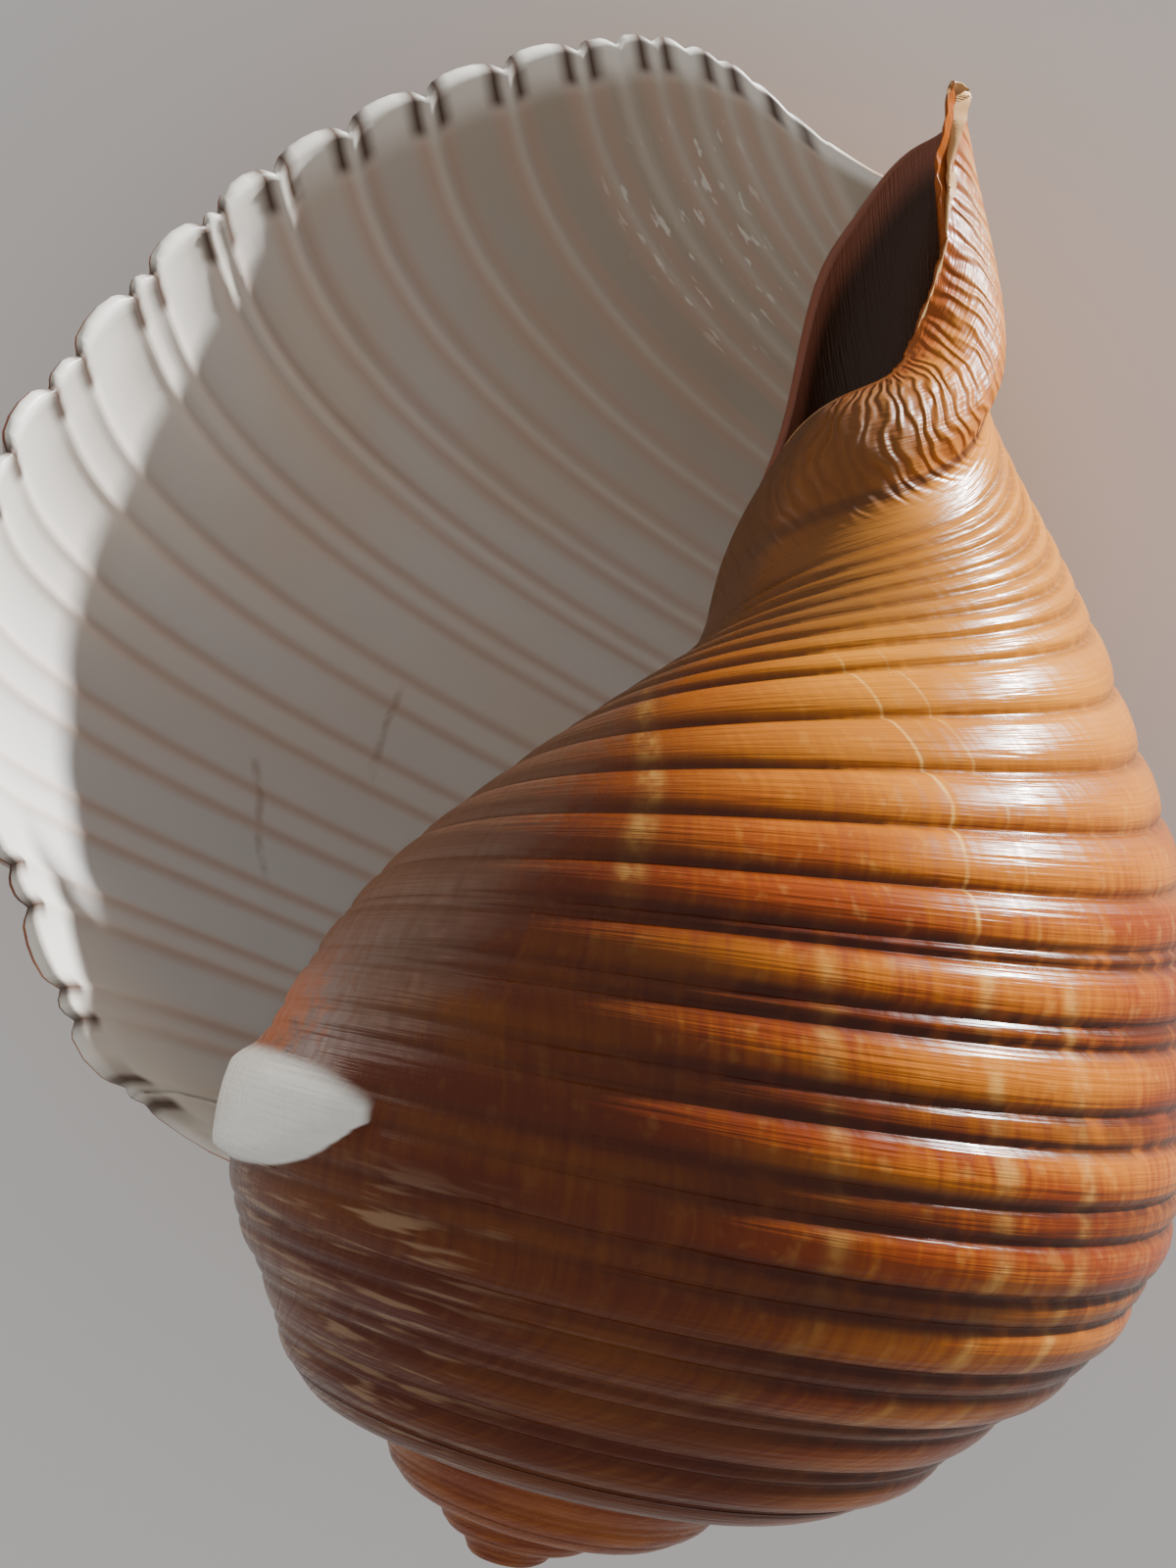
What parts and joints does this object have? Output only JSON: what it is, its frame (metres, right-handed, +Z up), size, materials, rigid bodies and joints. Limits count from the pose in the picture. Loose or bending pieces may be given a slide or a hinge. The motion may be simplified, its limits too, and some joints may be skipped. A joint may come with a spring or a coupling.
{
  "type": "tun shell",
  "caption": "Globular coiled sea shell with a wide open mouth, low spire, ribbed brown outside and pale inside, lying on its back.",
  "frame": {"origin": "on the resting plane, under the middle of the shell's extent", "axes": "+Z up, out of the mouth; +Y along the coil from the spire to the siphonal end; +X across the shell, away from the outer lip"},
  "size_m": [0.1236, 0.1442, 0.1071],
  "materials": {
    "shell": "glossy ribbed brown outside, satin grey-cream inside"
  },
  "bodies": {
    "root": {"shell": "shell"}
  },
  "joints": []
}
